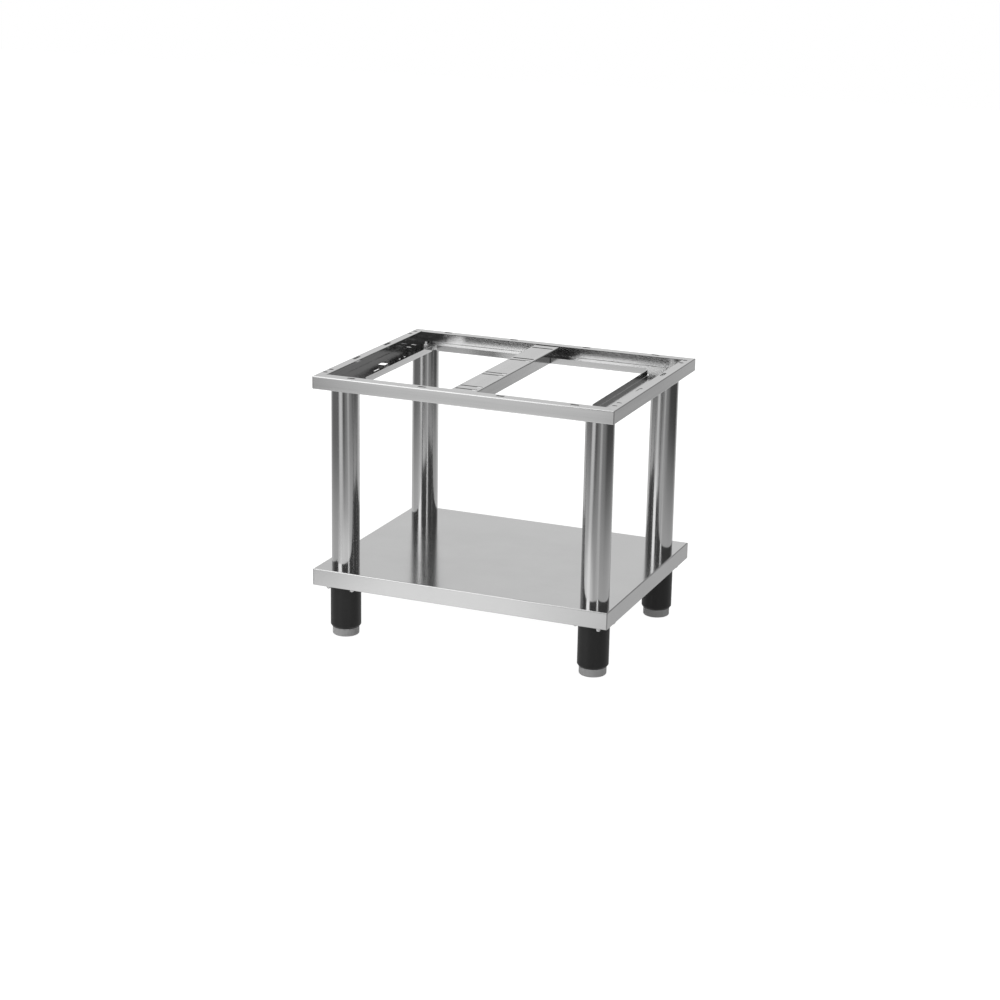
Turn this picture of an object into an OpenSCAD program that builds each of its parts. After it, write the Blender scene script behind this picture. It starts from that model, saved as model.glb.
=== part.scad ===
// Oven stand of folded stainless sheet, with four tube legs, a shelf tray and four screw feet.
// Millimetres. The origin is on the floor, under the middle of the top frame; +X is to the right, +Y to the rear.

/* [Overall] */
// Width of the top frame
frame_w = 900; // [760:5:1200]
// Depth of the top frame
frame_d = 700; // [560:5:900]
// Height from the floor to the top of the frame
total_h = 780; // [560:5:950]
// Height from the floor to the lower edge of the shelf
floor_gap = 162; // [155:1:200]

/* [Sheet] */
// Thickness of the folded sheet
sheet_t = 1.5; // [1:0.1:2]
// Outer radius of every fold
fold_r = 3; // [2.5:0.1:4]
// Width of the seam between two mitred pieces
seam = 0.3; // [0.1:0.05:0.5]
// Side clearance between pieces that pass or lie beside each other
side_gap = 0.3; // [0.2:0.05:0.5]

/* [Frame rails] */
// Height of the rails
rail_h = 38; // [32:0.5:50]
// Width of the top flange of the front and rear rails
flange_w = 34; // [32:0.5:38]
// Width of the top flange of the side rails
side_flange_w = 29; // [28.5:0.5:34]
// Width of the lower web, from the outer face to the lip
web_w = 107; // [100:0.5:112]
// Height of the lip at the inner edge of the web
lip_h = 18; // [12:0.5:22]
// Gap from the inner corner of the frame to the end of the front and rear lips
long_lip_gap = 9; // [6:0.5:12]
// Gap from the inner corner of the frame to the end of the side lips
side_lip_gap = 16; // [10:0.5:20]

/* [Cross-member] */
// Width of the cross-member
cross_w = 78; // [70:0.5:90]
// Width of the tabs at its ends
tab_w = 18; // [12:0.5:24]
// Height of its ends and tabs
tab_h = 27; // [20:0.5:28]
// Clearance beside it in the notches of the lips
notch_gap = 2; // [1:0.25:3]

/* [Slots] */
// Width of every slot
slot_w = 9; // [6:0.25:9.5]
// Sideways place of the cross-member and of the end rail slots
pattern_x = -4; // [-4:0.5:4]
// Place of the side rail and cross-member slots towards the rear
pattern_y = 10; // [-14:0.5:14]
// Distance from the outer face of a rail to the middle of its slots
slot_edge = 16; // [15.5:0.5:17]
// Length of the slots of the end rails
end_slot_l = 25; // [16:0.5:28]
// Place of the end rail slots towards the rear
end_slot_y = 4; // [-4:0.5:4]
// Distance from the side of the frame to the outer slots of an end rail
end_slot_in = 116; // [114:0.5:150]
// Distance between the two inner slots of an end rail
end_slots_inner = 234; // [180:1:280]
// Length of the two long slots of a side rail
long_slot_l = 40; // [30:0.5:50]
// Distance between the two long slots of a side rail
long_slots = 206; // [160:1:240]
// Length of the short crosswise slots of a side rail
short_slot_l = 14; // [12:0.5:15]
// Distance from the front or rear of the frame to the middle of a pair of crosswise slots
pair_in = 66; // [62:0.5:80]
// Distance between the two slots of an outer pair
pair_gap = 36; // [28:0.5:40]
// Length of the slots of the cross-member
cross_slot_l = 66; // [50:0.5:67]
// Distance between the middles of the inner pairs of the cross-member
inner_pair_span = 204; // [160:1:240]
// Distance between the two slots of an inner pair
inner_pair_gap = 26; // [20:0.5:32]

/* [Holes in the side webs] */
// Distance from the outer face to the crosswise slots of the web
web_slot_edge = 18; // [16:0.5:21]
// Length of the crosswise slots of the web
web_slot_l = 20; // [14:0.5:22]
// Distance from the front or rear of the frame to the middle of a pair of web slots
web_pair_in = 89; // [85:0.5:110]
// Distance from the outer face to the access hole
access_edge = 46; // [36:0.5:56]
// Size of the access hole across the rail
access_w = 24; // [18:0.5:30]
// Size of the access hole along the rail
access_l = 30; // [20:0.5:36]
// Place of the access hole towards the rear
access_y = 14; // [-20:1:24]
// Distance from the outer face to the row of small slots in the web
row_edge = 62; // [61:0.5:75]
// Width of the slots of that row
row_slot_w = 5.5; // [4:0.25:8]
// Places of the long slot and of the two short slots of that row towards the rear
row_y = [-64, 95, 129];

/* [Legs] */
// Outer diameter of the leg tubes
tube_d = 81; // [76:0.5:84]
// Wall thickness of the leg tubes
tube_t = 1.5; // [1.2:0.1:2.5]
// Distance from the side of the frame to the middle of a leg
leg_in_x = 66; // [62:0.5:70]
// Distance from the front or rear of the frame to the middle of a leg
leg_in_y = 76; // [70:0.5:82]
// Thickness of the discs in the tube ends
disc_t = 4; // [3:0.5:8]

/* [Tie rods] */
// Diameter of the tie rods
rod_d = 8; // [6:0.5:10]
// Clearance around the rods in their holes
rod_gap = 0.5; // [0.3:0.1:1]
// Diameter of the washers
washer_d = 24; // [20:0.5:30]
// Thickness of the washers
washer_t = 2; // [1.5:0.1:3]
// Width of the nuts across their flats
nut_af = 13; // [12.5:0.5:17]
// Height of the nuts
nut_h = 6.5; // [5:0.5:9]
// Length of rod that stands out of each nut
rod_out = 8; // [4:0.5:10]
// Outer diameter of the spacer bushes
bush_d = 36; // [30:1:44]
// Inner diameter of the spacer bushes
bush_bore = 28; // [24:1:29]

/* [Shelf] */
// Height of the aprons
apron_h = 50; // [44:1:70]
// How far the shelf stands out past the frame at the front and the rear
shelf_over = 3; // [0:0.5:6]
// Width of the fold under the aprons
hem_w = 8; // [5:0.5:9]
// Thickness of the corner plates
plate_t = 3; // [2:0.5:5]
// Width of the stiffener under the sheet
stiff_w = 70; // [50:1:100]
// Depth of the stiffener
stiff_h = 25; // [15:1:30]
// Width of the flanges of the stiffener
stiff_flange = 20; // [12:1:28]

/* [Foot sleeves] */
// Outer diameter of the sleeves
sleeve_d = 89; // [87:0.5:90]
// Diameter at the lower end of the sleeve
sleeve_tip_d = 81; // [80.5:0.25:84]
// Height of the chamfer at the lower end
sleeve_chamfer = 6; // [3:0.5:12]
// Diameter of the flange under the shelf
foot_flange_d = 122; // [121.5:0.25:124]
// Thickness of the flange
foot_flange_t = 5; // [4:0.5:8]
// Pitch circle of the flange bolts
foot_pcd = 106; // [105.5:0.25:106.5]
// Turn of each foot about its own axis
foot_turn = [0, -12, 0, 0];
// Diameter of the opening in the flange
foot_mouth_d = 60; // [45:1:70]
// Thickness of the partition that holds the nut
partition_t = 8; // [5:0.5:10]
// Height of the partition over the floor
partition_z = 82; // [80:1:88]

/* [Foot shoes] */
// Outer diameter of the shoes
shoe_d = 78; // [70:0.5:78]
// Clearance between a shoe and its sleeve, on the radius
shoe_gap = 0.4; // [0.3:0.05:0.6]
// Length of shoe that shows under the sleeve
shoe_out = 25; // [20:1:32]
// Height of the shoe
shoe_h = 64; // [56:1:64]
// Thickness of the wall of the shoe
shoe_wall = 5; // [3:0.5:7]
// Thickness of the floor of the shoe
shoe_floor = 16; // [14:0.5:20]
// Radius of the lower edge of the shoe
shoe_edge_r = 4; // [1:0.5:6]
// Diameter of the hub that holds the stem
hub_d = 32; // [28:1:40]
// Diameter of the threaded stem
stem_d = 20; // [16:0.5:22]
// Running clearance of the stem in its nut, on the radius
thread_gap = 0.06; // [0.02:0.01:0.09]
// Height of the top of the stem over the floor
stem_top = 127; // [124:1:128]
// Height of the nut in the partition
foot_nut_h = 16; // [12:1:17]
// Width of that nut across its flats
foot_nut_af = 30; // [28:1:36]

/* [Floor pads] */
// Diameter of the floor pads
pad_d = 66; // [50:1:68]
// Height of the shoe over the floor
pad_stand = 0.8; // [0.5:0.1:2]
// Depth of the pad
pad_t = 4; // [3:0.5:6]
// Diameter of the pin of the pad
pad_pin_d = 12; // [8:0.5:14]
// Height of the pin over the floor
pad_pin_top = 12; // [9:0.5:13]

/* [Foot bolts] */
// Diameter of the flange bolts
bolt_d = 8; // [6:0.5:8]
// Width of their heads and cap nuts across the flats
bolt_af = 13; // [11:0.5:13]
// Height of their heads
bolt_head_h = 5.5; // [3:0.5:7]
// Height of the cap nuts
cap_h = 15; // [13:0.5:17]
// Height of the hexagonal part of the cap nuts
cap_hex_h = 6.5; // [5:0.5:7]

/* [Hidden] */
$fn = 64;
eps = 0.01;
end_slots_outer = frame_w - 2 * end_slot_in;
pair_span = frame_d - 2 * pair_in;
web_pair_span = frame_d - 2 * web_pair_in;
bolt_gap = 0.3;
thread_fit = 0.05;
rail_z = total_h - rail_h;
shelf_top = floor_gap + apron_h;
sheet_under = shelf_top - sheet_t;
shelf_d = frame_d + 2 * shelf_over;
leg_x = frame_w / 2 - leg_in_x;
leg_y = frame_d / 2 - leg_in_y;
web_top = rail_z + sheet_t;
cross_h = rail_h - 2 * sheet_t;
cross_l = frame_d - 2 * (sheet_t + side_gap);
plate_top = floor_gap + plate_t;
rod_top = web_top + washer_t + nut_h + rod_out;
rod_low = floor_gap - washer_t - nut_h - rod_out / 2;
sleeve_low = shoe_out;
sleeve_bore = shoe_d + 2 * shoe_gap;
sleeve_wall = (sleeve_d - sleeve_bore) / 2;
foot_nut_z = partition_z + partition_t;
leg_signs = [[-1, -1], [1, -1], [-1, 1], [1, 1]];
bolt_angles = [45, 135, 225, 315];

// Flat outline of a rectangle with round corners, from the origin
module round_rect(w, h, r) {
    translate([r, 0]) square([w - 2 * r, h]);
    translate([0, r]) square([w, h - 2 * r]);
    for (x = [r, w - r], y = [r, h - r]) translate([x, y]) circle(r);
}

// Outline of a folded sheet box with a wall all round, which the profiles below are cut from
module fold_ring(w, h, t) {
    difference() {
        round_rect(w, h, fold_r);
        translate([t, t]) round_rect(w - 2 * t, h - 2 * t, fold_r - t);
    }
}

// A slot along X with round ends
module slot(length, width = slot_w) {
    square([length - width, width], center = true);
    for (s = [-1, 1]) translate([s * (length - width) / 2, 0]) circle(d = width);
}

// Extrudes a profile along X, centred, with its own X towards +Y and its own Y upwards
module along_x(length) {
    translate([-length / 2, 0, 0]) rotate([90, 0, 90]) linear_extrude(length) children();
}

// Cuts both ends of a piece along X at 45 degrees, for a piece that is w deep
module mitre(length, w, h) {
    half = length / 2 - seam * sqrt(2) / 2;
    intersection() {
        children();
        translate([0, 0, -1]) linear_extrude(h + 2)
            polygon([[-half - 1, -1], [half + 1, -1], [half - w - 1, w + 1], [-half + w + 1, w + 1]]);
    }
}

// Puts children that are drawn for the front left leg at every leg, or at one of them
module at_legs(which = [0, 1, 2, 3]) {
    for (i = which) translate([leg_signs[i][0] * leg_x, leg_signs[i][1] * leg_y, 0]) children();
}

// Profile of a rail: outer wall at X = 0, flange at the top, web at the bottom and lip at its inner edge
module rail_profile(flange) {
    difference() {
        fold_ring(web_w, rail_h, sheet_t);
        translate([flange, lip_h]) square([web_w, rail_h]);
    }
}

// A rail along X with its outer face at Y = 0 and both lip ends cut back from the corner
module rail(length, lip_gap, flange) {
    lip_half = length / 2 - web_w - lip_gap;
    difference() {
        mitre(length, web_w, rail_h) along_x(length) rail_profile(flange);
        for (s = [-1, 1]) translate([s * (lip_half + web_w), web_w, rail_h / 2])
            cube([2 * web_w, 2 * fold_r, rail_h + 2], center = true);
    }
}

module rod_holes(z, h) {
    at_legs() translate([0, 0, z]) cylinder(h = h, d = rod_d + 2 * rod_gap);
}

// Slots cut down through the top flange, each drawn flat
module through_flange() {
    translate([0, 0, rail_h - sheet_t - 1]) linear_extrude(sheet_t + 2) children();
}

module through_web() {
    translate([0, 0, -1]) linear_extrude(sheet_t + 2) children();
}

// Front or rear rail, seen from outside. End is -1 at the rear and 1 at the front, which is also the way
// inwards towards the rear. The slots keep their span over the frame, so they shift with the pattern.
module end_rail(end) {
    shift = end * pattern_x;
    difference() {
        rail(frame_w, long_lip_gap, flange_w);
        through_flange() for (s = [-1, 1], span = [end_slots_outer, end_slots_inner])
            translate([shift + s * span / 2, slot_edge + end * end_slot_y]) slot(end_slot_l);
        translate([shift, web_w, rail_h / 2])
            cube([cross_w + 2 * notch_gap, 2 * fold_r, rail_h + 2], center = true);
    }
}

// Side rail, seen from outside. Side is -1 on the left and 1 on the right, which is also the way
// to the rear along the rail. The flange slots keep their span over the frame, so they shift with the pattern.
module side_rail(side) {
    edge = slot_edge - side * pattern_x;
    difference() {
        rail(frame_d, side_lip_gap, side_flange_w);
        through_flange() {
            for (s = [-1, 1]) translate([side * pattern_y + s * long_slots / 2, edge]) slot(long_slot_l);
            for (s = [-1, 1], k = [-1, 1])
                translate([side * pattern_y + s * pair_span / 2 + k * pair_gap / 2, edge])
                    rotate(90) slot(short_slot_l);
        }
        through_web() {
            for (s = [-1, 1], k = [-1, 1])
                translate([side * pattern_y + s * web_pair_span / 2 + k * pair_gap / 2, web_slot_edge])
                    rotate(90) slot(web_slot_l);
            translate([side * access_y, access_edge]) square([access_l, access_w], center = true);
            translate([side * row_y[0], row_edge]) slot(long_slot_l, row_slot_w);
            for (i = [1, 2]) translate([side * row_y[i], row_edge]) slot(short_slot_l, row_slot_w);
        }
    }
}

module frame_front_rail() {
    color("silver") difference() {
        translate([0, -frame_d / 2, rail_z]) end_rail(1);
        rod_holes(rail_z - 1, sheet_t + 2);
    }
}

module frame_rear_rail() {
    color("silver") difference() {
        translate([0, frame_d / 2, rail_z]) rotate(180) end_rail(-1);
        rod_holes(rail_z - 1, sheet_t + 2);
    }
}

module frame_left_rail() {
    color("silver") difference() {
        translate([-frame_w / 2, 0, rail_z]) rotate(-90) side_rail(-1);
        rod_holes(rail_z - 1, sheet_t + 2);
    }
}

module frame_right_rail() {
    color("silver") difference() {
        translate([frame_w / 2, 0, rail_z]) rotate(90) side_rail(1);
        rod_holes(rail_z - 1, sheet_t + 2);
    }
}

// Inverted U between the webs and the top flanges, with tabs against the outer walls
module cross_member() {
    tab_low = (cross_h - tab_h) / 2;
    end_l = fold_r;
    color("silver") translate([pattern_x, 0, web_top]) difference() {
        union() {
            rotate(90) along_x(cross_l) translate([-cross_w / 2, -fold_r]) difference() {
                fold_ring(cross_w, cross_h + fold_r, sheet_t);
                translate([-1, -1]) square([cross_w + 2, fold_r + 1]);
            }
            for (s = [-1, 1], e = [-1, 1])
                translate([s * (cross_w / 2 + tab_w / 2 - eps), e * (cross_l - sheet_t) / 2, tab_low + tab_h / 2])
                    cube([tab_w, sheet_t, tab_h], center = true);
        }
        for (e = [-1, 1], z = [tab_low - cross_h, tab_low + tab_h])
            translate([-cross_w, e * cross_l / 2 - end_l, z]) cube([2 * cross_w, 2 * end_l, cross_h]);
        translate([0, pattern_y, cross_h - sheet_t - 1]) linear_extrude(sheet_t + 2) for (s = [-1, 1], k = [-1, 1]) {
            translate([0, s * pair_span / 2 + k * pair_gap / 2]) slot(cross_slot_l);
            translate([0, s * inner_pair_span / 2 + k * inner_pair_gap / 2]) slot(cross_slot_l);
        }
    }
}

module leg_tube(i) {
    color("gainsboro") at_legs([i]) translate([0, 0, shelf_top]) difference() {
        cylinder(h = rail_z - shelf_top, d = tube_d);
        translate([0, 0, -1]) cylinder(h = rail_z - shelf_top + 2, d = tube_d - 2 * tube_t);
    }
}

// Disc in a tube end with a hole for the rod
module tube_disc(z) {
    color("gray") at_legs() translate([0, 0, z]) difference() {
        cylinder(h = disc_t, d = tube_d - 2 * (tube_t + side_gap / 3));
        translate([0, 0, -1]) cylinder(h = disc_t + 2, d = rod_d + 2 * rod_gap);
    }
}

module tube_top_discs() {
    tube_disc(rail_z - disc_t);
}

module tube_bottom_discs() {
    tube_disc(shelf_top);
}

module tie_rods() {
    color("lightgray") at_legs() translate([0, 0, rod_low]) cylinder(h = rod_top - rod_low, d = rod_d);
}

module washers(z) {
    color("lightgray") at_legs() translate([0, 0, z]) difference() {
        cylinder(h = washer_t, d = washer_d);
        translate([0, 0, -1]) cylinder(h = washer_t + 2, d = rod_d + 2 * rod_gap);
    }
}

// Hexagon nut with its lower face at z = 0
module hex_nut(af, h, bore_d) {
    difference() {
        cylinder(h = h, d = af / cos(30), $fn = 6);
        translate([0, 0, -1]) cylinder(h = h + 2, d = bore_d);
    }
}

module top_washers() {
    washers(web_top);
}

module bottom_washers() {
    washers(floor_gap - washer_t);
}

module top_nuts() {
    color("lightgray") at_legs() translate([0, 0, web_top + washer_t]) hex_nut(nut_af, nut_h, rod_d + 2 * thread_fit);
}

module bottom_nuts() {
    color("lightgray") at_legs()
        translate([0, 0, floor_gap - washer_t - nut_h]) hex_nut(nut_af, nut_h, rod_d + 2 * thread_fit);
}

// Apron along X with its outer face at Y = 0, a strip of the top sheet and the fold under it
module apron(length) {
    top_strip = 4 * fold_r;
    mitre(length, top_strip, apron_h) along_x(length) difference() {
        fold_ring(2 * top_strip, apron_h, sheet_t);
        translate([top_strip, fold_r]) square([2 * top_strip, apron_h]);
        translate([hem_w, -1]) square([2 * top_strip, apron_h / 2]);
    }
}

module shelf() {
    color("silver") difference() {
        union() {
            translate([0, 0, floor_gap]) {
                translate([0, -shelf_d / 2, 0]) apron(frame_w);
                translate([0, shelf_d / 2, 0]) rotate(180) apron(frame_w);
                translate([-frame_w / 2, 0, 0]) rotate(-90) apron(shelf_d);
                translate([frame_w / 2, 0, 0]) rotate(90) apron(shelf_d);
            }
            translate([0, 0, sheet_under + sheet_t / 2])
                cube([frame_w - 2 * fold_r, shelf_d - 2 * fold_r, sheet_t], center = true);
        }
        rod_holes(sheet_under - 1, sheet_t + 2);
    }
}

// Hat channel along X, welded under the sheet
module shelf_stiffener() {
    length = frame_w - 2 * (sheet_t + fold_r + hem_w);
    color("silver") translate([0, 0, sheet_under - stiff_h]) along_x(length) translate([-stiff_w / 2, 0]) {
        difference() {
            fold_ring(stiff_w, stiff_h + fold_r, sheet_t);
            translate([-1, stiff_h]) square([stiff_w + 2, fold_r + 1]);
        }
        for (x = [-stiff_flange, stiff_w - sheet_t])
            translate([x, stiff_h - sheet_t]) square([stiff_flange + sheet_t, sheet_t]);
    }
}

// Bolt positions of one foot, about its axis
module at_bolts(i) {
    rotate(foot_turn[i]) for (a = bolt_angles) rotate(a) translate([foot_pcd / 2, 0, 0]) children();
}

// Plates level with the folds under the aprons, in the four corners of the tray
module corner_plates() {
    outer_x = frame_w / 2 - hem_w - side_gap - leg_x;
    outer_y = shelf_d / 2 - hem_w - side_gap - leg_y;
    inner = foot_flange_d / 2;
    color("gray") for (i = [0:3]) at_legs([i]) difference() {
        translate([0, 0, floor_gap + plate_t / 2])
            translate([leg_signs[i][0] * (outer_x - inner) / 2, leg_signs[i][1] * (outer_y - inner) / 2, 0])
                cube([outer_x + inner, outer_y + inner, plate_t], center = true);
        translate([0, 0, floor_gap - 1]) {
            cylinder(h = plate_t + 2, d = rod_d + 2 * rod_gap);
            at_bolts(i) cylinder(h = plate_t + 2, d = bolt_d + 2 * bolt_gap);
        }
    }
}

module spacer_bushes() {
    color("gray") at_legs() translate([0, 0, plate_top]) difference() {
        cylinder(h = sheet_under - plate_top, d = bush_d);
        translate([0, 0, -1]) cylinder(h = sheet_under - plate_top + 2, d = bush_bore);
    }
}

// Half outline of a sleeve, from its lower end at the shoe up to the flange under the shelf
module sleeve_outline() {
    flange_z = floor_gap - foot_flange_t;
    difference() {
        union() {
            translate([0, sleeve_low + sleeve_chamfer]) square([sleeve_d / 2, floor_gap - sleeve_low - sleeve_chamfer]);
            polygon([
                [0, sleeve_low],
                [sleeve_tip_d / 2, sleeve_low],
                [sleeve_d / 2, sleeve_low + sleeve_chamfer],
                [sleeve_d / 2, sleeve_low + 2 * sleeve_chamfer],
                [0, sleeve_low + 2 * sleeve_chamfer]
            ]);
            translate([0, flange_z]) square([foot_flange_d / 2, foot_flange_t]);
        }
        translate([-1, sleeve_low - 1]) square([sleeve_bore / 2 + 1, partition_z - sleeve_low + 1]);
        translate([-1, foot_nut_z]) square([sleeve_bore / 2 + 1, flange_z - foot_nut_z]);
        translate([-1, flange_z - 1]) square([foot_mouth_d / 2 + 1, foot_flange_t + 2]);
        translate([-1, partition_z - 1]) square([stem_d / 2 + 2, partition_t + 2]);
    }
}

module foot_sleeve(i) {
    color([0.13, 0.13, 0.13]) at_legs([i]) difference() {
        rotate_extrude() sleeve_outline();
        translate([0, 0, floor_gap - foot_flange_t - 1])
            at_bolts(i) cylinder(h = foot_flange_t + 2, d = bolt_d + 2 * bolt_gap);
    }
}

module foot_nuts() {
    color("lightgray") at_legs()
        translate([0, 0, foot_nut_z]) hex_nut(foot_nut_af, foot_nut_h, stem_d + 2 * thread_gap);
}

module foot_bolts() {
    shank_low = floor_gap - foot_flange_t - cap_hex_h - bolt_d / 3;
    color("lightgray") for (i = [0:3]) at_legs([i]) at_bolts(i) {
        translate([0, 0, shank_low]) cylinder(h = plate_top - shank_low + eps, d = bolt_d);
        translate([0, 0, plate_top]) cylinder(h = bolt_head_h, d = bolt_af / cos(30), $fn = 6);
    }
}

// Cap nuts under the foot flanges, hexagon above and dome below
module cap_nuts() {
    dome_r = bolt_af / 2 - 0.25;
    color("gainsboro") for (i = [0:3]) at_legs([i]) at_bolts(i)
        translate([0, 0, floor_gap - foot_flange_t - cap_h]) difference() {
            union() {
                translate([0, 0, cap_h - cap_hex_h]) cylinder(h = cap_hex_h, d = bolt_af / cos(30), $fn = 6);
                translate([0, 0, dome_r]) cylinder(h = cap_h - dome_r - 1, r = dome_r);
                translate([0, 0, dome_r]) sphere(dome_r);
            }
            translate([0, 0, cap_h - cap_hex_h - bolt_d / 2])
                cylinder(h = cap_hex_h + bolt_d, d = bolt_d + 2 * thread_fit);
        }
}

// Half outline of a shoe: a cup with a hub for the stem and a recess for the pad below
module shoe_outline() {
    top = pad_stand + shoe_h;
    floor_z = pad_stand + shoe_floor;
    difference() {
        union() {
            translate([0, pad_stand + shoe_edge_r]) square([shoe_d / 2, shoe_h - shoe_edge_r]);
            translate([0, pad_stand]) square([shoe_d / 2 - shoe_edge_r, shoe_edge_r + 1]);
            translate([shoe_d / 2 - shoe_edge_r, pad_stand + shoe_edge_r]) circle(shoe_edge_r);
        }
        translate([hub_d / 2, floor_z]) square([shoe_d / 2 - shoe_wall - hub_d / 2, shoe_h]);
        translate([-1, top - shoe_wall]) square([hub_d / 2 + 2, shoe_wall + 1]);
        translate([-1, floor_z]) square([stem_d / 2 + thread_fit + 1, shoe_h]);
        translate([-1, -1]) square([pad_d / 2 + side_gap + 1, pad_t + side_gap + 1]);
        translate([-1, -1]) square([pad_pin_d / 2 + thread_gap + 1, pad_pin_top + side_gap + 1]);
    }
}

module foot_shoe(i) {
    color("gray") at_legs([i]) rotate_extrude() shoe_outline();
}

module foot_stem(i) {
    stem_low = pad_stand + shoe_floor;
    color("lightgray") at_legs([i]) translate([0, 0, stem_low]) cylinder(h = stem_top - stem_low, d = stem_d);
}

module floor_pad(i) {
    color("dimgray") at_legs([i]) {
        cylinder(h = pad_t, d = pad_d);
        cylinder(h = pad_pin_top, d = pad_pin_d);
    }
}

frame_front_rail();
frame_rear_rail();
frame_left_rail();
frame_right_rail();
cross_member();
leg_tube(0);  // leg_tube_front_left
leg_tube(1);  // leg_tube_front_right
leg_tube(2);  // leg_tube_rear_left
leg_tube(3);  // leg_tube_rear_right
tube_top_discs();
tube_bottom_discs();
tie_rods();
top_washers();
top_nuts();
bottom_washers();
bottom_nuts();
shelf();
shelf_stiffener();
corner_plates();
spacer_bushes();
foot_sleeve(0);  // foot_sleeve_front_left
foot_sleeve(1);  // foot_sleeve_front_right
foot_sleeve(2);  // foot_sleeve_rear_left
foot_sleeve(3);  // foot_sleeve_rear_right
foot_nuts();
foot_bolts();
cap_nuts();
foot_shoe(0);  // foot_shoe_front_left
foot_shoe(1);  // foot_shoe_front_right
foot_shoe(2);  // foot_shoe_rear_left
foot_shoe(3);  // foot_shoe_rear_right
foot_stem(0);  // foot_stem_front_left
foot_stem(1);  // foot_stem_front_right
foot_stem(2);  // foot_stem_rear_left
foot_stem(3);  // foot_stem_rear_right
floor_pad(0);  // floor_pad_front_left
floor_pad(1);  // floor_pad_front_right
floor_pad(2);  // floor_pad_rear_left
floor_pad(3);  // floor_pad_rear_right
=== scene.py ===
"""Oven stand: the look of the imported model, in its own frame."""
import math

import bmesh
import bpy
from mathutils import Matrix, Vector


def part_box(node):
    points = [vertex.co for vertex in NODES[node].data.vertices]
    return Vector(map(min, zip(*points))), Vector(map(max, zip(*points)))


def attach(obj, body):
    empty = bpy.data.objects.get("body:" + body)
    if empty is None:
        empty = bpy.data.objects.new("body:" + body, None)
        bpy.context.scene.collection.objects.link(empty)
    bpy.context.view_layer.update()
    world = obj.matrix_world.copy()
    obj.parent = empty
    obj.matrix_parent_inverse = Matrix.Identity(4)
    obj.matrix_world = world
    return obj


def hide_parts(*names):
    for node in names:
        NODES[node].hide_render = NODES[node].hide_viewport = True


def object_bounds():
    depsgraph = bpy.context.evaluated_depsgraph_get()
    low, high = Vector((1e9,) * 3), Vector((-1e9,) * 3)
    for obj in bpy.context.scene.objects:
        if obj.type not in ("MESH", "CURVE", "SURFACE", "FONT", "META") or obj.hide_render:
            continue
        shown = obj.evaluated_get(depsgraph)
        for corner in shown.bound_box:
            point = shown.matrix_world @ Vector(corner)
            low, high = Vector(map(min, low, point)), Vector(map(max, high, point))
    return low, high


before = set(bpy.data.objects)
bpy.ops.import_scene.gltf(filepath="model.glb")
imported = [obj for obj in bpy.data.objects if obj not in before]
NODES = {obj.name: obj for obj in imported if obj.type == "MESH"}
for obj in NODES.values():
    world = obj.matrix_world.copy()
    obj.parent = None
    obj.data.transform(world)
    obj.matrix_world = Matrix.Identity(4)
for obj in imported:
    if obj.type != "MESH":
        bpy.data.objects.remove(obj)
cad_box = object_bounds()
MM = 0.001

# Places on the stand
SHEET = 1.5 * MM
FRAME_HALF_X = cad_box[1][0]
FRAME_HALF_Y = 0.350
SHELF_HALF_Y = cad_box[1][1]
RAIL_TOP = cad_box[1][2]
RAIL_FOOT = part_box("frame_front_rail")[0][2]
CROSS_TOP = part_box("cross_member")[1][2]

# Camera: the photograph's place and direction, worked out from the edges of the stand
CAMERA_AT = Vector((2.3631, -5.7756, 2.2446))
CAMERA_YAW = math.radians(22.406)
CAMERA_PITCH = math.radians(-16.627)
CAMERA_ROLL = math.radians(1.040)
CAMERA_LENS = 80.3
CAMERA_SENSOR = 36
CAMERA_REACH = 60


def make_camera():
    forward = Vector((
        -math.sin(CAMERA_YAW) * math.cos(CAMERA_PITCH),
        math.cos(CAMERA_YAW) * math.cos(CAMERA_PITCH),
        math.sin(CAMERA_PITCH),
    ))
    right = Vector((math.cos(CAMERA_YAW), math.sin(CAMERA_YAW), 0))
    up = right.cross(forward)
    x = right * math.cos(CAMERA_ROLL) + up * math.sin(CAMERA_ROLL)
    y = up * math.cos(CAMERA_ROLL) - right * math.sin(CAMERA_ROLL)
    turn = Matrix((x, y, -forward)).transposed().to_4x4()
    data = bpy.data.cameras.new("camera")
    data.sensor_width = CAMERA_SENSOR
    data.lens = CAMERA_LENS
    data.clip_end = CAMERA_REACH
    camera = bpy.data.objects.new("camera", data)
    camera.matrix_world = Matrix.Translation(CAMERA_AT) @ turn
    bpy.context.collection.objects.link(camera)
    bpy.context.scene.camera = camera


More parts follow.
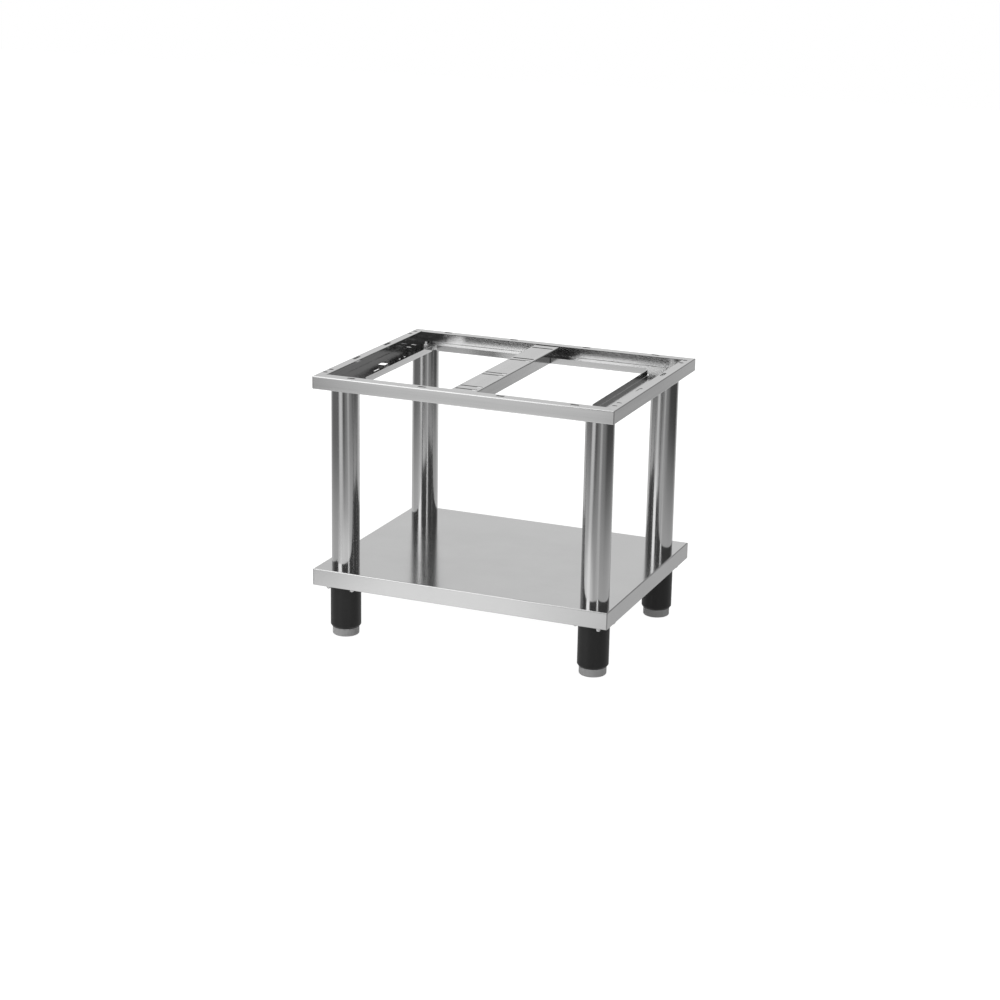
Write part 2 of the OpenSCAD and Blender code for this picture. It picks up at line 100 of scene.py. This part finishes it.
class Tree:
    """A node tree that is filled by short calls."""

    def __init__(self, tree):
        self.tree = tree
        tree.nodes.clear()

    def put(self, socket, value):
        """Links an output to an input, or sets the input's value."""
        if isinstance(value, bpy.types.NodeSocket):
            self.tree.links.new(value, socket)
        else:
            socket.default_value = value

    def add(self, kind, links=None, **settings):
        """Adds a node; settings are its properties, links the values or outputs for its inputs."""
        node = self.tree.nodes.new(kind)
        for key, value in settings.items():
            setattr(node, key, value)
        for key, value in (links or {}).items():
            self.put(node.inputs[key], value)
        return node

    def math(self, operation, a, b=0.0):
        return self.add("ShaderNodeMath", {0: a, 1: b}, operation=operation).outputs[0]

    def plus(self, a, b):
        return self.math("ADD", a, b)

    def times(self, a, b):
        return self.math("MULTIPLY", a, b)

    def span(self, value, low, high, to_low=0.0, to_high=1.0):
        """Eases a value from one range into another."""
        links = {
            "Value": value, "From Min": low, "From Max": high, "To Min": to_low, "To Max": to_high,
        }
        return self.add("ShaderNodeMapRange", links, interpolation_type="SMOOTHSTEP").outputs[0]

    def around(self, value, ends, middle, swing):
        """Eases a value between two ends into a range around a middle, as wide as the swing says."""
        return self.span(value, *ends, middle * (1 - swing), middle * (1 + swing))

    def dim(self, value, mask, share):
        """Brings a value down to a share of itself where a mask is one."""
        return self.times(value, self.span(mask, 0.0, 1.0, 1.0, share))

    def noise(self, where, scale, stretch=(1, 1, 1), detail=4.0, rough=0.6):
        moved = self.add("ShaderNodeMapping", {"Vector": where, "Scale": stretch}).outputs[0]
        links = {"Vector": moved, "Scale": scale, "Detail": detail, "Roughness": rough}
        return self.add("ShaderNodeTexNoise", links).outputs[0]

    def axis(self, vector, name):
        """One coordinate of a vector."""
        return self.add("ShaderNodeSeparateXYZ", {0: vector}).outputs[name]

    def vector(self, operation, a, b=(0.0, 0.0, 0.0), result="Vector"):
        return self.add("ShaderNodeVectorMath", {0: a, 1: b}, operation=operation).outputs[result]

    def grey(self, value):
        """A grey colour from a value."""
        links = {"Red": value, "Green": value, "Blue": value}
        return self.add("ShaderNodeCombineColor", links).outputs[0]

    def blend(self, factor, a, b):
        """Mixes two colours."""
        node = self.add("ShaderNodeMix", data_type="RGBA")
        for socket, value in zip((node.inputs[0], node.inputs[6], node.inputs[7]), (factor, a, b)):
            self.put(socket, value)
        return node.outputs[2]

    def mix(self, factor, a, b):
        """Mixes two surfaces."""
        return self.add("ShaderNodeMixShader", {0: factor, 1: a, 2: b}).outputs[0]

    def glow(self, strength):
        """A surface that gives white light."""
        links = {"Color": grey(1.0), "Strength": strength}
        return self.add("ShaderNodeEmission", links).outputs[0]

    def bump(self, height, strength, distance):
        links = {"Height": height, "Strength": strength, "Distance": distance}
        return self.add("ShaderNodeBump", links).outputs[0]

    def surface(self, links):
        """Ends a material with a principled surface."""
        shader = self.add("ShaderNodeBsdfPrincipled", links).outputs[0]
        self.add("ShaderNodeOutputMaterial", {"Surface": shader})


def new_material(name):
    material = bpy.data.materials.new(name)
    material.use_nodes = True
    return material, Tree(material.node_tree)


def grey(value):
    return (value, value, value, 1.0)


# Ranges of a noise that are eased: nearly all of it, its middle half and the core of that
WIDE = (0.2, 0.8)
HALF = (0.25, 0.75)
CORE = (0.3, 0.7)

# Painted dark reflection along the upright corners: how far from a corner it ends and is full, and its
# tone
PAINTED_CORNER_EDGE = 3.5 * MM
PAINTED_CORNER_CORE = 1.5 * MM
PAINTED_CORNER_TONE = 0.5

# Walls of slots: what counts as upright and as the wall of a slot in a web, their tone, painted dark
# as the shade inside the slots, and their dullness
UPRIGHT = 0.3
WEB_WALL = 0.9 * SHEET
SLOT_WALL_PAINTED_SHADE = 0.12
CUT_ROUGH = 0.3

# Brushed steel: fine lines and broad bands with their noise scales across and along the grain, broad
# clouds and smudges, and how far tone and roughness swing with them
STEEL_SHADE = 0.60
LINES = (260.0, 5.0)
LINES_SCALE = 6.0
BANDS = (60.0, 1.2)
BANDS_SCALE = 1.0
BANDS_SWING = 0.05
BANDS_RELIEF = 0.6
CLOUD_SCALE = 5.0
CLOUD_SWING = 0.02
SMUDGE_SCALE = 14.0
SMUDGES = (0.58, 0.78)
SMUDGE_ROUGH = 0.03
ROUGH_SWING = 0.14
GRAIN_BUMP = 0.10
GRAIN_HEIGHT = 0.25 * MM

# Zinc plate: a mottled tone and fine turning marks round the upright axis
MOTTLE_SCALE = 240.0
MOTTLE_DARK = 0.9
MOTTLE_PALE = 1.06
MOTTLE_SMOOTH = 0.8
MOTTLE_ROUGH = 1.3
TURNING_SCALE = 40.0
TURNING_STRETCH = (1, 1, 60)
TURNING_BUMP = 0.15
FINE_HEIGHT = 0.2 * MM

# Moulded plastic: an eroded texture, and scuffs that run upright
MOULD_SWING = 0.1
MOULD_BUMP = 0.25
SCUFF_SCALE = 55.0
SCUFF_STRETCH = (1, 1, 0.25)
SCUFFS = (0.55, 0.75)
SCUFF_SHARE = 0.35
SCUFF_SHADE = 1.5
SCUFF_ROUGH = 0.08


def near_corner(t, where, half_x, half_y):
    """One beside the upright corners of a box of sheet, where a dark reflection is painted; zero
    elsewhere.
    """
    marks = []
    for axis, half in (("X", half_x), ("Y", half_y)):
        away = t.math("ABSOLUTE", t.axis(where, axis))
        marks.append(t.span(away, half - PAINTED_CORNER_EDGE, half - PAINTED_CORNER_CORE))
    return t.times(*marks)


def at_cut_edge(t, coordinates, top):
    """One on the upright walls of slots in the webs and in flanges whose upper face is at a height."""
    height = t.axis(coordinates["Object"], "Z")
    tilt = t.math("ABSOLUTE", t.axis(coordinates["Normal"], "Z"))
    in_flange = t.math("GREATER_THAN", height, top - SHEET)
    above_foot = t.math("GREATER_THAN", height, RAIL_FOOT)
    in_web = t.times(t.math("LESS_THAN", height, RAIL_FOOT + WEB_WALL), above_foot)
    return t.times(t.plus(in_flange, in_web), t.math("LESS_THAN", tilt, UPRIGHT))


def grained(along, scales):
    """Noise stretch for a grain along x, y or z, from the scales across and along it."""
    stretch = [scales[0]] * 3
    stretch["xyz".index(along)] = scales[1]
    return stretch


def steel(name, along, rough, grain=1.0, corner=None, cuts=None):
    """Brushed steel with its grain along x, y or z.

    Corner is the half size in x and y of sheet with a painted dark reflection at its upright corners.
    Cuts is the height of the upper face of slotted sheet; its slot walls are dull, and painted dark as
    the shade inside the slots.
    """
    material, t = new_material(name)
    coordinates = t.add("ShaderNodeTexCoord").outputs
    where = coordinates["Object"]
    lines = t.noise(where, LINES_SCALE, grained(along, LINES), detail=3.0)
    bands = t.noise(where, BANDS_SCALE, grained(along, BANDS), detail=4.0)
    cloud = t.noise(where, CLOUD_SCALE, detail=3.0)
    smudge = t.noise(where, SMUDGE_SCALE, detail=5.0, rough=0.7)
    value = t.around(bands, HALF, STEEL_SHADE, BANDS_SWING * grain)
    value = t.times(value, t.around(cloud, CORE, 1.0, CLOUD_SWING))
    if corner:
        # Painted dark reflection along the upright corners
        value = t.dim(value, near_corner(t, where, *corner), PAINTED_CORNER_TONE)
    roughness = t.around(lines, WIDE, rough, ROUGH_SWING)
    roughness = t.plus(roughness, t.times(t.span(smudge, *SMUDGES), SMUDGE_ROUGH))
    if cuts:
        cut = at_cut_edge(t, coordinates, cuts)
        # Slot walls painted dark: painted shade for the dark inside of the slots
        value = t.dim(value, cut, SLOT_WALL_PAINTED_SHADE)
        roughness = t.plus(roughness, t.times(cut, CUT_ROUGH))
    height = t.plus(lines, t.times(bands, BANDS_RELIEF))
    t.surface({
        "Base Color": t.grey(value),
        "Metallic": 1.0,
        "Roughness": roughness,
        "Normal": t.bump(height, GRAIN_BUMP * grain, GRAIN_HEIGHT),
    })
    return material


def bright_zinc(name, shade, rough, metal):
    """Zinc-plated small parts."""
    material, t = new_material(name)
    where = t.add("ShaderNodeTexCoord").outputs["Object"]
    mottle = t.noise(where, MOTTLE_SCALE, detail=3.0)
    rings = t.noise(where, TURNING_SCALE, TURNING_STRETCH, detail=2.0)
    t.surface({
        "Base Color": t.grey(t.span(mottle, *CORE, shade * MOTTLE_DARK, shade * MOTTLE_PALE)),
        "Metallic": metal,
        "Roughness": t.span(mottle, *WIDE, rough * MOTTLE_SMOOTH, rough * MOTTLE_ROUGH),
        "Normal": t.bump(rings, TURNING_BUMP, FINE_HEIGHT),
    })
    return material


def moulded(name, shade, rough, specular, fine=900.0):
    """Moulded plastic or rubber with a texture of the given fineness."""
    material, t = new_material(name)
    where = t.add("ShaderNodeTexCoord").outputs["Object"]
    grain = t.noise(where, fine, detail=2.0)
    scuff = t.noise(where, SCUFF_SCALE, SCUFF_STRETCH, detail=6.0, rough=0.75)
    worn = t.span(scuff, *SCUFFS)
    roughness = t.around(grain, CORE, rough, MOULD_SWING)
    t.surface({
        "Base Color": t.blend(t.times(worn, SCUFF_SHARE), grey(shade), grey(shade * SCUFF_SHADE)),
        "Roughness": t.plus(roughness, t.times(worn, SCUFF_ROUGH)),
        "Specular IOR Level": specular,
        "Normal": t.bump(grain, MOULD_BUMP, FINE_HEIGHT),
    })
    return material


def make_materials():
    frame_half = (FRAME_HALF_X, FRAME_HALF_Y)
    shelf_half = (FRAME_HALF_X, SHELF_HALF_Y)
    return {
        "end": steel("steel_brushed_x", "x", rough=0.10, corner=frame_half, cuts=RAIL_TOP),
        "rear": steel("steel_brushed_rear", "x", rough=0.16, corner=frame_half, cuts=RAIL_TOP),
        "side": steel("steel_brushed_y", "y", rough=0.10, corner=frame_half, cuts=RAIL_TOP),
        "cross": steel("steel_brushed_cross", "y", rough=0.10, cuts=CROSS_TOP),
        "shelf": steel("steel_shelf", "x", rough=0.14, grain=0.05, corner=shelf_half),
        "tube": steel("steel_tube", "z", rough=0.16, grain=0.3),
        "zinc": bright_zinc("zinc_plate", shade=0.85, rough=0.30, metal=0.5),
        # The washers are the nuts' zinc painted darker: painted shade
        "washer": bright_zinc("zinc_washer", shade=0.55, rough=0.25, metal=1.0),
        "black": moulded("plastic_black", shade=0.018, rough=0.42, specular=0.4),
        "grey": moulded("plastic_grey", shade=0.62, rough=0.5, specular=0.5),
        "rubber": moulded("pad_rubber", shade=0.03, rough=0.75, specular=0.3, fine=400.0),
    }


# Material of each node by the start of its name; all other nodes are zinc-plated
KINDS = {
    "frame_front": "end",
    "frame_rear": "rear",
    "frame_left": "side",
    "frame_right": "side",
    "cross_member": "cross",
    "leg_tube": "tube",
    "shelf": "shelf",
    "foot_sleeve": "black",
    "foot_shoe": "grey",
    "floor_pad": "rubber",
    "top_washers": "washer",
    "bottom_washers": "washer",
}


def dress_nodes(materials):
    """Gives every CAD node its material."""
    for name, node in NODES.items():
        kind = next((k for start, k in KINDS.items() if name.startswith(start)), "zinc")
        node.data.materials.clear()
        node.data.materials.append(materials[kind])


# Fasteners: the threads and chamfers that the plain CAD cylinders and prisms leave out
THREAD_PITCH = 1.25 * MM
THREAD_DEPTH = 0.7 * MM
THREAD_STEPS = 6
THREADED_END = 24 * MM
AROUND = 48
ROD = 8 * MM
NUT_PLAY = 0.05 * MM
NUT_FACE = 0.95
NUT_CHAMFER = math.tan(math.radians(30))
NUT_SINK = 0.4 * MM


def add_turned(form, centre, rings, closed):
    """Adds a skin over rings of one radius and height per step around, joined end to end if closed."""
    loops = []
    for ring in rings:
        loop = []
        for i, (radius, z) in enumerate(ring):
            turn = 2 * math.pi * i / AROUND
            x = centre[0] + radius * math.cos(turn)
            y = centre[1] + radius * math.sin(turn)
            loop.append(form.verts.new((x, y, z)))
        loops.append(loop)
    pairs = list(zip(loops, loops[1:]))
    if closed:
        pairs.append((loops[-1], loops[0]))
    else:
        form.faces.new(list(reversed(loops[0])))
        form.faces.new(loops[-1])
    for lower, upper in pairs:
        for i in range(AROUND):
            j = (i + 1) % AROUND
            form.faces.new((lower[i], lower[j], upper[j], upper[i]))


def even_ring(radius, z):
    return [(radius, z)] * AROUND


def thread_ring(radius, z):
    """A ring of a screw thread: its radius follows the turn of the helix."""
    ring = []
    for i in range(AROUND):
        phase = (z / THREAD_PITCH - i / AROUND) % 1.0
        ring.append((radius - THREAD_DEPTH * (1 - abs(2 * phase - 1)), z))
    return ring


def threaded_rings(radius, low, high):
    """Rings of a rod with a chamfer and a thread at both ends and a plain shank between them."""
    bevel = THREAD_DEPTH
    step = THREAD_PITCH / THREAD_STEPS
    count = int((THREADED_END - bevel) / step)
    lower = [thread_ring(radius, low + bevel + i * step) for i in range(count)]
    upper = [thread_ring(radius, high - bevel - i * step) for i in reversed(range(count))]
    shank = [even_ring(radius, low + THREADED_END), even_ring(radius, high - THREADED_END)]
    foot = [even_ring(radius - bevel, low)]
    head = [even_ring(radius - bevel, high)]
    return foot + lower + shank + upper + head


def nut_rings(across_flats, bore, low, high):
    """Rings of a hexagon nut with a chamfer round both faces and a countersunk bore."""
    face = NUT_FACE * across_flats / 2
    side = []
    for i in range(AROUND):
        turn = (2 * math.pi * i / AROUND) % (math.pi / 3) - math.pi / 6
        side.append(across_flats / 2 / math.cos(turn))
    lower = [(r, low + (r - face) * NUT_CHAMFER) for r in side]
    upper = [(r, high - (r - face) * NUT_CHAMFER) for r in side]
    return [
        even_ring(bore, low + NUT_SINK),
        even_ring(bore + NUT_SINK, low),
        even_ring(face, low),
        lower,
        upper,
        even_ring(face, high),
        even_ring(bore + NUT_SINK, high),
        even_ring(bore, high - NUT_SINK),
    ]


def at_the_legs(box, half):
    """Centres of four equal round pieces that fill a box at its corners."""
    x = box[1][0] - half
    y = box[1][1] - half
    return [(sx * x, sy * y) for sx in (-1, 1) for sy in (-1, 1)]


def make_fastener(name, node, material, centres, rings, closed):
    """One piece for the four equal fasteners of a node."""
    form = bmesh.new()
    for centre in centres:
        add_turned(form, centre, rings, closed)
    bmesh.ops.recalc_face_normals(form, faces=form.faces)
    mesh = bpy.data.meshes.new(name)
    form.to_mesh(mesh)
    form.free()
    mesh.materials.append(material)
    piece = bpy.data.objects.new(name, mesh)
    bpy.context.collection.objects.link(piece)
    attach(piece, "stand")
    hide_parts(node)


def make_fasteners(material):
    low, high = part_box("tie_rods")
    rod_half = ROD / 2
    centres = at_the_legs((low, high), rod_half)
    rings = threaded_rings(rod_half, low[2], high[2])
    make_fastener("threaded_rods", "tie_rods", material, centres, rings, False)
    for node in ("top_nuts", "bottom_nuts"):
        low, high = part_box(node)
        flats = 2 * (high[1] - centres[-1][1])
        rings = nut_rings(flats, rod_half + NUT_PLAY, low[2], high[2])
        make_fastener("hex_" + node, node, material, centres, rings, True)


# Floor: white to the camera, with a soft shadow from the share of plain paper in it. Reflections see a
# painted glow in place of the paper, which fades away from the stand, with a painted pool of light in
# front of it. A lobe has its azimuth, from the rear towards the right, the angles to which it is full
# and at which it is gone, and what it adds to the light near and far.
FLOOR_HALF = 14.0
FLOOR_DROP = 0.5 * MM
PAPER = 0.8
PAPER_SHARE = 0.3
WHITE_SPAN = (1.0, 3.5)
WHITE_NEAR = 1.38
WHITE_FAR = 1.7
FLOOR_SPAN = (0.9, 2.9)
FLOOR_NEAR = 0.50
FLOOR_FAR = 0.06
FLOOR_LOBES = (
    (-161, 3, 18, 0.04, 0.72),
    (-105, 25, 50, 0.08, 0.10),
    (-30, 35, 55, 0.10, 0.45),
    (-8, 12, 35, 0.00, 0.35),
    (26, 6, 18, 0.00, 0.36),
    (140, 8, 40, 0.00, 0.20),
    (143, 2, 9, 0.06, 0.28),
)
FRONT_POOL_AT = (-0.1, -0.9, 0.0)
FRONT_POOL_SPAN = (0.30, 0.70)
FRONT_POOL = 0.32
FLOOR_GLOSS = 0.16
FLOOR_ROUGH = 0.22


def lobe(t, level_way, azimuth, full, gone):
    """One where a level direction lies near an azimuth, and zero far from it; angles in degrees."""
    turn = math.radians(azimuth)
    facing = t.vector("DOT_PRODUCT", level_way, (math.sin(turn), math.cos(turn), 0.0), "Value")
    return t.span(facing, math.cos(math.radians(gone)), math.cos(math.radians(full)))


def level_direction(t, way):
    return t.vector("NORMALIZE", t.vector("MULTIPLY", way, (1.0, 1.0, 0.0)))


def floor_light(t, where, radius):
    """Light that comes from the floor into the reflections."""
    way = level_direction(t, where)
    near, far = FLOOR_NEAR, FLOOR_FAR
    for azimuth, full, gone, add_near, add_far in FLOOR_LOBES:
        share = lobe(t, way, azimuth, full, gone)
        near = t.plus(near, t.times(share, add_near))
        far = t.plus(far, t.times(share, add_far))
    away = t.span(radius, *FLOOR_SPAN)
    level = t.plus(near, t.times(away, t.math("SUBTRACT", far, near)))
    # A painted pool of light on the floor in front of the stand, seen only in reflections
    pool = t.vector("DISTANCE", where, FRONT_POOL_AT, "Value")
    return t.plus(level, t.span(pool, *FRONT_POOL_SPAN, FRONT_POOL, 0.0))


def make_floor():
    mesh = bpy.data.meshes.new("floor")
    form = bmesh.new()
    bmesh.ops.create_grid(form, x_segments=2, y_segments=2, size=FLOOR_HALF)
    form.to_mesh(mesh)
    form.free()
    floor = bpy.data.objects.new("floor", mesh)
    floor.location.z = -FLOOR_DROP
    bpy.context.collection.objects.link(floor)
    material, t = new_material("floor_paper")
    where = t.add("ShaderNodeTexCoord").outputs["Object"]
    radius = t.vector("LENGTH", where, result="Value")
    path = t.add("ShaderNodeLightPath").outputs
    paper = t.add("ShaderNodeBsdfDiffuse", {"Color": grey(PAPER)}).outputs[0]
    white = t.glow(t.span(radius, *WHITE_SPAN, WHITE_NEAR, WHITE_FAR))
    seen = t.mix(PAPER_SHARE, white, paper)
    polish = {"Color": grey(FLOOR_GLOSS), "Roughness": FLOOR_ROUGH}
    gloss = t.add("ShaderNodeBsdfAnisotropic", polish).outputs[0]
    light = t.glow(floor_light(t, where, radius))
    mirrored = t.add("ShaderNodeAddShader", {0: light, 1: gloss}).outputs[0]
    other = t.mix(path["Is Glossy Ray"], paper, mirrored)
    both = t.mix(path["Is Camera Ray"], other, seen)
    t.add("ShaderNodeOutputMaterial", {"Surface": both})
    mesh.materials.append(material)


# World: white to the camera; for light and reflections a dim room with a pale wall behind the stand
# and a ceiling. A lobe has its azimuth, the angles to which it is full and at which it is gone, and
# its strength.
ROOM = 0.08
CEILING = 0.30
CEILING_SPAN = (0.40, 0.60)
SKY_LOBES = (
    (-25, 31, 39, 0.50),
    (-18, 6, 15, 0.20),
    (-72, 8, 30, 0.20),
    (25, 3, 12, 0.20),
)


def make_world():
    world = bpy.data.worlds.new("studio")
    world.use_nodes = True
    bpy.context.scene.world = world
    t = Tree(world.node_tree)
    way = t.add("ShaderNodeTexCoord").outputs["Generated"]
    level = level_direction(t, way)
    wall = ROOM
    for azimuth, full, gone, strength in SKY_LOBES:
        wall = t.plus(wall, t.times(lobe(t, level, azimuth, full, gone), strength))
    upper = t.span(t.axis(way, "Z"), *CEILING_SPAN)
    light = t.blend(upper, t.grey(wall), grey(CEILING))
    seen = t.add("ShaderNodeLightPath").outputs["Is Camera Ray"]
    colour = t.blend(seen, light, grey(1.0))
    background = t.add("ShaderNodeBackground", {"Color": colour, "Strength": 1.0}).outputs[0]
    t.add("ShaderNodeOutputWorld", {"Surface": background})


# Lamps: name, place, the point they face, width, height and radiance
LAMPS = (
    ("overhead", (-0.6, -0.1, 3.0), (-0.6, -0.1, 0.0), 3.6, 3.0, 1.2),
    ("window_left", (-1.45, -2.9, 2.1), (0.0, 0.0, 2.1), 1.5, 3.0, 1.8),
    ("window_right", (2.4, -2.6, 2.0), (0.0, 0.0, 2.0), 0.55, 2.8, 1.5),
)


def softbox(name, at, target, width, height, radiance):
    """A plain area light that faces a target."""
    data = bpy.data.lights.new(name, "AREA")
    data.shape = "RECTANGLE"
    data.size = width
    data.size_y = height
    data.energy = radiance * math.pi * width * height
    lamp = bpy.data.objects.new(name, data)
    lamp.location = at
    lamp.rotation_euler = (Vector(target) - Vector(at)).to_track_quat("-Z", "Y").to_euler()
    bpy.context.collection.objects.link(lamp)


bpy.context.scene.view_settings.view_transform = "Standard"
make_camera()
make_world()
for lamp in LAMPS:
    softbox(*lamp)
make_floor()
materials = make_materials()
dress_nodes(materials)
make_fasteners(materials["zinc"])
